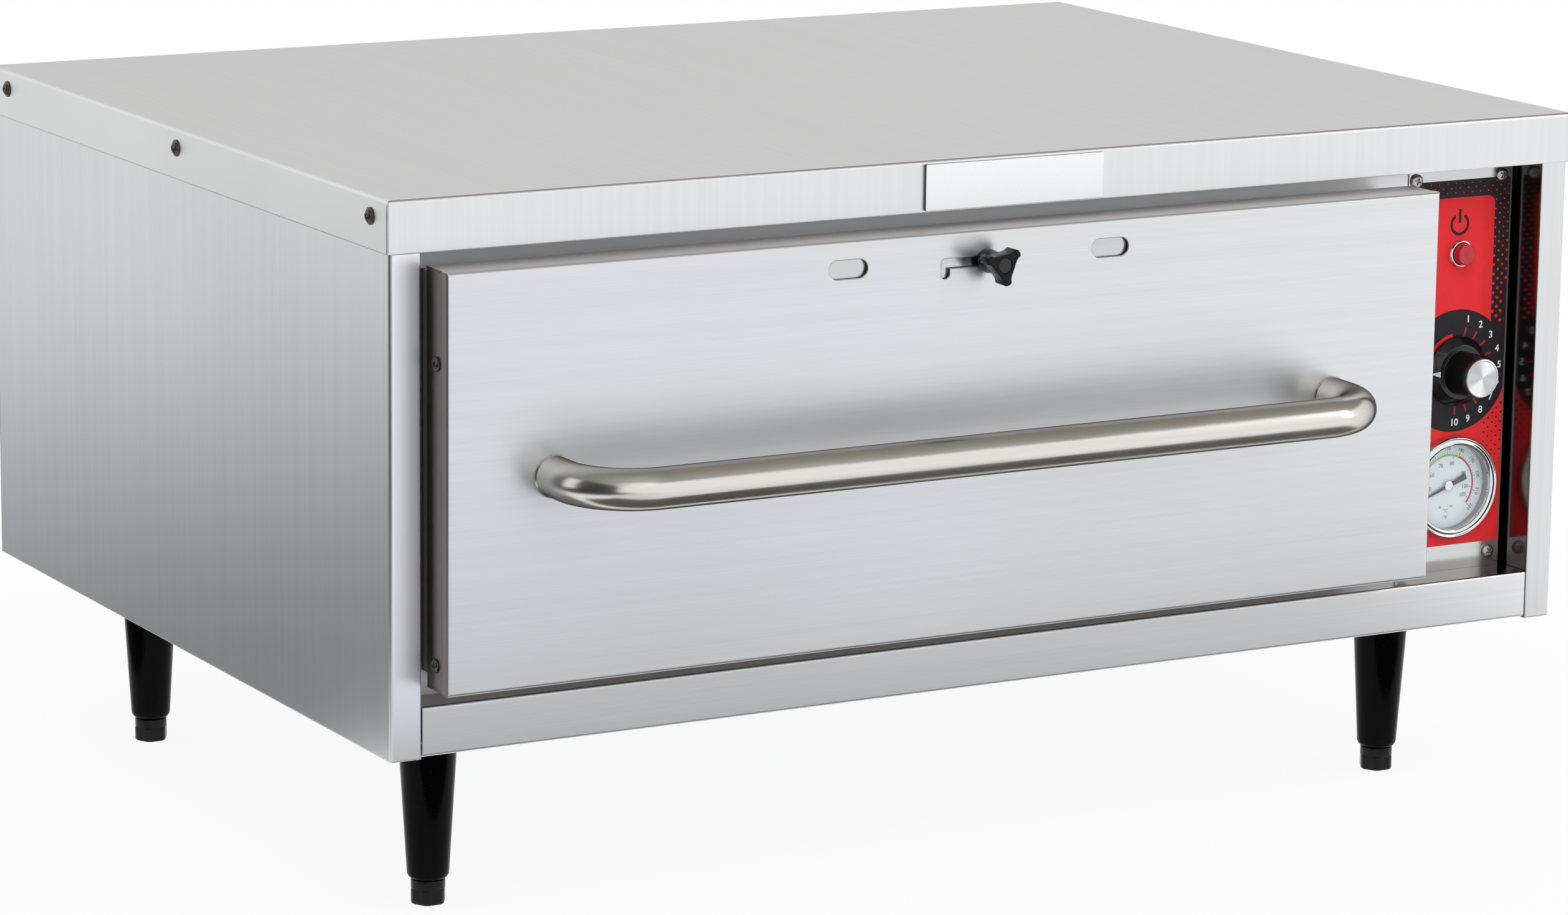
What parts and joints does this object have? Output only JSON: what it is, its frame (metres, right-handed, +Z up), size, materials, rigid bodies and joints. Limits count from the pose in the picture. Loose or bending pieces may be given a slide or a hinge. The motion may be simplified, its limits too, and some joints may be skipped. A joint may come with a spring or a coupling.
{
  "type": "countertop warming drawer",
  "caption": "Countertop warming drawer: a stainless cabinet on short legs with an insulated pull-out drawer, a heat knob, a lit button, a thermometer and an adjustable vent.",
  "frame": {"origin": "on the worktop under the middle of the object, handle and cord gland included", "axes": "+X to the right seen from the front, +Y to the back, +Z up"},
  "size_m": [0.7544, 0.6518, 0.402],
  "materials": {
    "brushed_stainless": "fine one-way brushed grain",
    "plain_stainless": "smooth mill finish",
    "galvanised": "dull galvanised sheet",
    "polished_tube": "satin polished tube",
    "chrome": "bright chrome",
    "screw_steel": "plated screw heads",
    "dark_screw": "black oxide",
    "leg_black": "gloss black enamel",
    "knob_black": "glossy black moulding",
    "star_black": "satin black moulding",
    "knob_cap": "spun aluminium disc",
    "overlay_red": "printed film, red and charcoal",
    "button_red": "translucent red lens",
    "dial_white": "white printed dial",
    "needle_black": "black painted needle",
    "gauge_glass": "clear lens",
    "black_nylon": "moulded nylon",
    "phenolic": "moulded phenolic",
    "insulation": "glass-fibre blanket",
    "silicone": "silicone seal",
    "element_sheath": "oxidised steel sheath",
    "copper_line": "copper capillary",
    "wire_white": "insulated wire",
    "roller_steel": "turned steel"
  },
  "bodies": {
    "cabinet": {"top_cover": "brushed_stainless", "cover_screws": "dark_screw", "left_side_panel": "brushed_stainless", "right_side_panel": "brushed_stainless", "bottom_rail": "brushed_stainless", "bottom_panel": "galvanised", "back_panel": "galvanised", "badge_plate": "plain_stainless", "legs": "leg_black", "leg_plates": "galvanised", "cavity_liner": "plain_stainless", "cavity_insulation": "insulation", "control_bay_divider": "galvanised", "heating_element": "element_sheath", "element_clips": "galvanised", "element_guard": "galvanised", "thermostat_body": "phenolic", "thermostat_capillary": "copper_line", "gauge_capillary": "copper_line", "bulb_clips": "galvanised", "control_panel": "plain_stainless", "panel_overlay": "overlay_red", "panel_screws": "screw_steel", "button_bezel": "chrome", "switch_body": "black_nylon", "gauge_bezel": "chrome", "gauge_lens": "gauge_glass", "gauge_case": "roller_steel", "gauge_dial": "dial_white", "terminal_block": "phenolic", "cord_gland": "black_nylon", "gland_locknut": "black_nylon", "wiring": "wire_white", "left_fixed_rail": "galvanised", "right_fixed_rail": "galvanised"},
    "drawer": {"drawer_front": "brushed_stainless", "drawer_inner_panel": "plain_stainless", "drawer_insulation": "insulation", "drawer_gasket": "silicone", "drawer_handle": "polished_tube", "drawer_side_screws": "screw_steel", "left_drawer_rail": "galvanised", "right_drawer_rail": "galvanised", "pan_frame": "plain_stainless", "food_pan": "plain_stainless", "shutter_guides": "galvanised"},
    "shutter": {"vent_shutter": "plain_stainless", "clamp_stud": "screw_steel"},
    "clamp_knob": {"star_knob": "star_black"},
    "heat_knob": {"thermostat_knob": "knob_black", "knob_cap": "knob_cap", "thermostat_shaft": "screw_steel"},
    "button": {"power_button": "button_red"},
    "needle": {"gauge_needle": "needle_black"},
    "front_roller_pair": {"front_rollers": "roller_steel"},
    "rear_roller_pair": {"rear_rollers": "roller_steel"},
    "front_left_foot": {"foot_front_left": "leg_black"},
    "front_right_foot": {"foot_front_right": "leg_black"},
    "rear_left_foot": {"foot_rear_left": "leg_black"},
    "rear_right_foot": {"foot_rear_right": "leg_black"}
  },
  "joints": [
    {"name": "drawer_slide", "type": "slide", "parent": "cabinet", "child": "drawer", "axis": [0, -1, 0], "range_m": [0, 0.42]},
    {"name": "front_roller_spin", "type": "hinge", "parent": "cabinet", "child": "front_roller_pair", "pos_m": [-0.04365, -0.19285, 0.2366], "axis": [1, 0, 0], "range_deg": [0, 2680]},
    {"name": "rear_roller_spin", "type": "hinge", "parent": "drawer", "child": "rear_roller_pair", "pos_m": [-0.04365, 0.24915, 0.2539], "axis": [1, 0, 0], "range_deg": [-2680, 0]},
    {"name": "vent_shutter_slide", "type": "slide", "parent": "drawer", "child": "shutter", "axis": [-1, 0, 0], "range_m": [0, 0.026]},
    {"name": "clamp_knob_turn", "type": "hinge", "parent": "shutter", "child": "clamp_knob", "pos_m": [-0.03165, -0.27385, 0.3496], "axis": [0, -1, 0], "range_deg": [0, 180]},
    {"name": "thermostat_turn", "type": "hinge", "parent": "cabinet", "child": "heat_knob", "pos_m": [0.31685, -0.21885, 0.2514], "axis": [0, 1, 0], "range_deg": [0, 272]},
    {"name": "power_button_press", "type": "slide", "parent": "cabinet", "child": "button", "axis": [0, 1, 0], "range_m": [0, 0.003], "stiffness_N_per_m": 500, "springref_m": -0.001},
    {"name": "gauge_needle_turn", "type": "hinge", "parent": "cabinet", "child": "needle", "pos_m": [0.31685, -0.21485, 0.1827], "axis": [0, 1, 0], "range_deg": [-20, 240]},
    {"name": "front_left_foot_level", "type": "slide", "parent": "cabinet", "child": "front_left_foot", "axis": [0, 0, -1], "range_m": [0, 0.025]},
    {"name": "front_right_foot_level", "type": "slide", "parent": "cabinet", "child": "front_right_foot", "axis": [0, 0, -1], "range_m": [0, 0.025]},
    {"name": "rear_left_foot_level", "type": "slide", "parent": "cabinet", "child": "rear_left_foot", "axis": [0, 0, -1], "range_m": [0, 0.025]},
    {"name": "rear_right_foot_level", "type": "slide", "parent": "cabinet", "child": "rear_right_foot", "axis": [0, 0, -1], "range_m": [0, 0.025]}
  ],
  "couplings": [
    {"joint": "front_roller_spin", "follows": "drawer_slide", "rad_per_m": 111.11},
    {"joint": "rear_roller_spin", "follows": "drawer_slide", "rad_per_m": -111.11}
  ]
}
